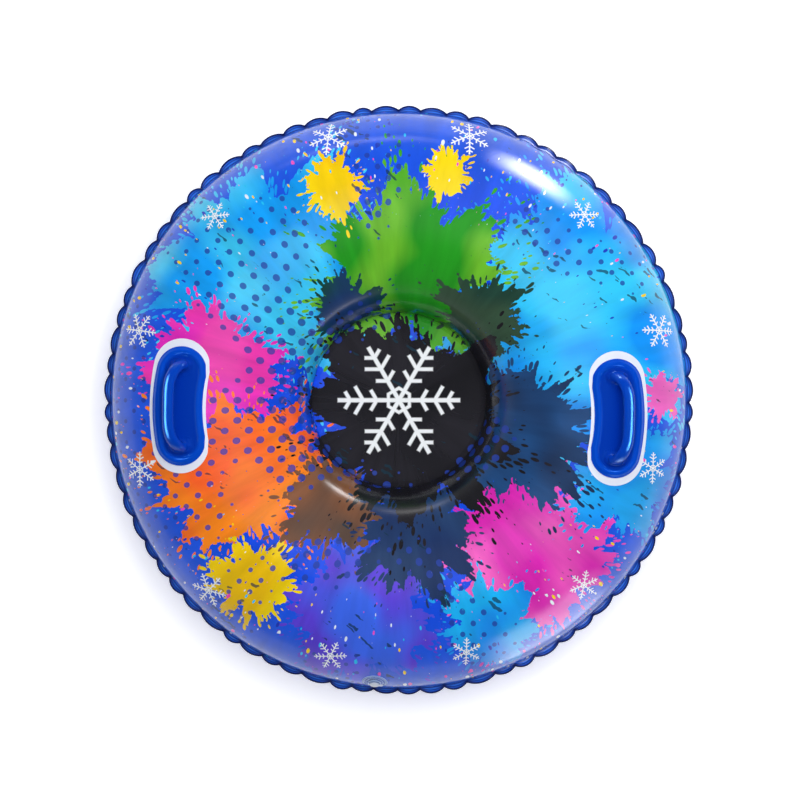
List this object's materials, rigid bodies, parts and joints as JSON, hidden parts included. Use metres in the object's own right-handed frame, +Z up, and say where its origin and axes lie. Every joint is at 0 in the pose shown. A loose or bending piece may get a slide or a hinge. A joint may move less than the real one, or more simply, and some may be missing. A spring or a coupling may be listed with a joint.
{
  "type": "inflatable snow tube",
  "caption": "Round inflatable snow tube with a printed top, a closed seat, a scalloped welded rim, moulded grips and a capped air valve.",
  "frame": {"origin": "on the ground under the middle of the seat", "axes": "+Z up, square to the seat panel; +X from the left grip to the right grip; the valve is on the -Y side"},
  "size_m": [1.0028, 1.0028, 0.2699],
  "materials": {
    "printed_sheet": "glossy PVC film, printed in mixed paint colours",
    "blue_sheet": "glossy plain blue PVC film",
    "white_patch": "satin white PVC film",
    "moulded_handle": "glossy moulded soft PVC",
    "clear_valve": "milky clear moulded PVC"
  },
  "bodies": {
    "tube": {"upper_sheet": "printed_sheet", "lower_sheet": "blue_sheet", "seat_panel": "printed_sheet", "rim_flange": "blue_sheet", "left_handle_patch": "white_patch", "left_handle_pad": "moulded_handle", "left_handle_grip": "moulded_handle", "right_handle_patch": "white_patch", "right_handle_pad": "moulded_handle", "right_handle_grip": "moulded_handle", "valve_base": "clear_valve"},
    "stem": {"valve_stem": "clear_valve"},
    "cap": {"valve_cap": "clear_valve", "valve_strap": "clear_valve"},
    "flap": {"valve_flap": "clear_valve"}
  },
  "joints": [
    {"name": "stem_slide", "type": "slide", "parent": "tube", "child": "stem", "axis": [-0.0761, -0.8877, 0.454], "range_m": [0, 0.009]},
    {"name": "cap_hinge", "type": "hinge", "parent": "stem", "child": "cap", "pos_m": [-0.05161, -0.48022, 0.15879], "axis": [-0.0388, -0.4523, -0.891], "range_deg": [0, 150]},
    {"name": "flap_hinge", "type": "hinge", "parent": "stem", "child": "flap", "pos_m": [-0.04731, -0.46051, 0.1486], "axis": [0.0388, 0.4523, 0.891], "range_deg": [0, 60], "stiffness_Nm_per_rad": 0.0001}
  ]
}
